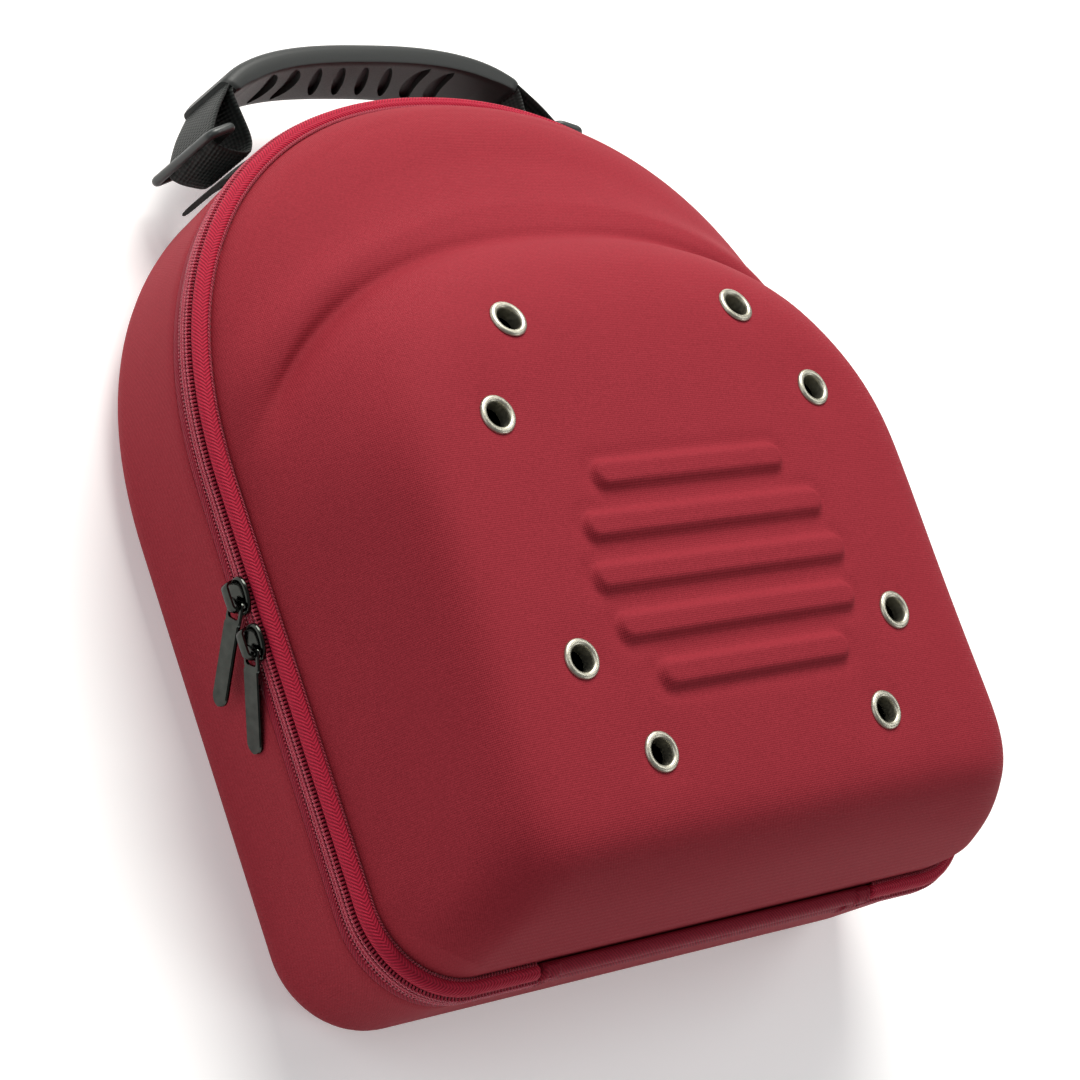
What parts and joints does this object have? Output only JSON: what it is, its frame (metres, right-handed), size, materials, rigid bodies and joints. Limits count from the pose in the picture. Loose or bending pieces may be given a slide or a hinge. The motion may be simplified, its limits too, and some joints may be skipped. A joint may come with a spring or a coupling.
{
  "type": "baseball cap carrier case",
  "caption": "Hard moulded carrier case for a baseball cap, closed, with a zip round it, vent eyelets, a cloth hinge and a carry handle.",
  "frame": {"origin": "middle of the back shell's flat outer face", "axes": "+X across the case, +Y up its length towards the handle, +Z from its back to its front"},
  "size_m": [0.2789, 0.3324, 0.1238],
  "materials": {
    "shell_fabric": "red fine twill laminated on moulded foam",
    "zip_cloth": "crimson woven zip tape and nylon teeth",
    "nickel": "pressed nickel-plated brass",
    "black_metal": "gloss black plated zinc",
    "grip_rubber": "smooth dark grey moulded rubber",
    "black_webbing": "black ribbed nylon webbing",
    "black_plastic": "moulded nylon"
  },
  "bodies": {
    "case": {"back_shell": "shell_fabric", "front_shell": "shell_fabric", "zip_chain": "zip_cloth", "zip_tape_back": "zip_cloth", "zip_piping": "zip_cloth", "hinge_strip": "zip_cloth", "eyelet_1": "nickel", "eyelet_2": "nickel", "eyelet_3": "nickel", "eyelet_4": "nickel", "eyelet_5": "nickel", "eyelet_6": "nickel", "eyelet_7": "nickel", "eyelet_8": "nickel", "slider_upper": "black_metal", "slider_lower": "black_metal", "handle_grip": "grip_rubber", "handle_strap_left": "black_webbing", "handle_strap_right": "black_webbing", "strap_ring_left": "black_plastic", "strap_ring_right": "black_plastic", "anchor_patch_left": "black_webbing", "anchor_patch_right": "black_webbing"},
    "upper_pull": {"pull_upper": "black_metal"},
    "lower_pull": {"pull_lower": "black_metal"}
  },
  "joints": [
    {"name": "upper_pull_swing", "type": "hinge", "parent": "case", "child": "upper_pull", "pos_m": [-0.13985, -0.0173, 0.05695], "axis": [0, 0.6691, -0.7431], "range_deg": [0, 75]},
    {"name": "lower_pull_swing", "type": "hinge", "parent": "case", "child": "lower_pull", "pos_m": [-0.13985, -0.03244, 0.05699], "axis": [0, 0.5736, -0.8192], "range_deg": [0, 75]}
  ]
}
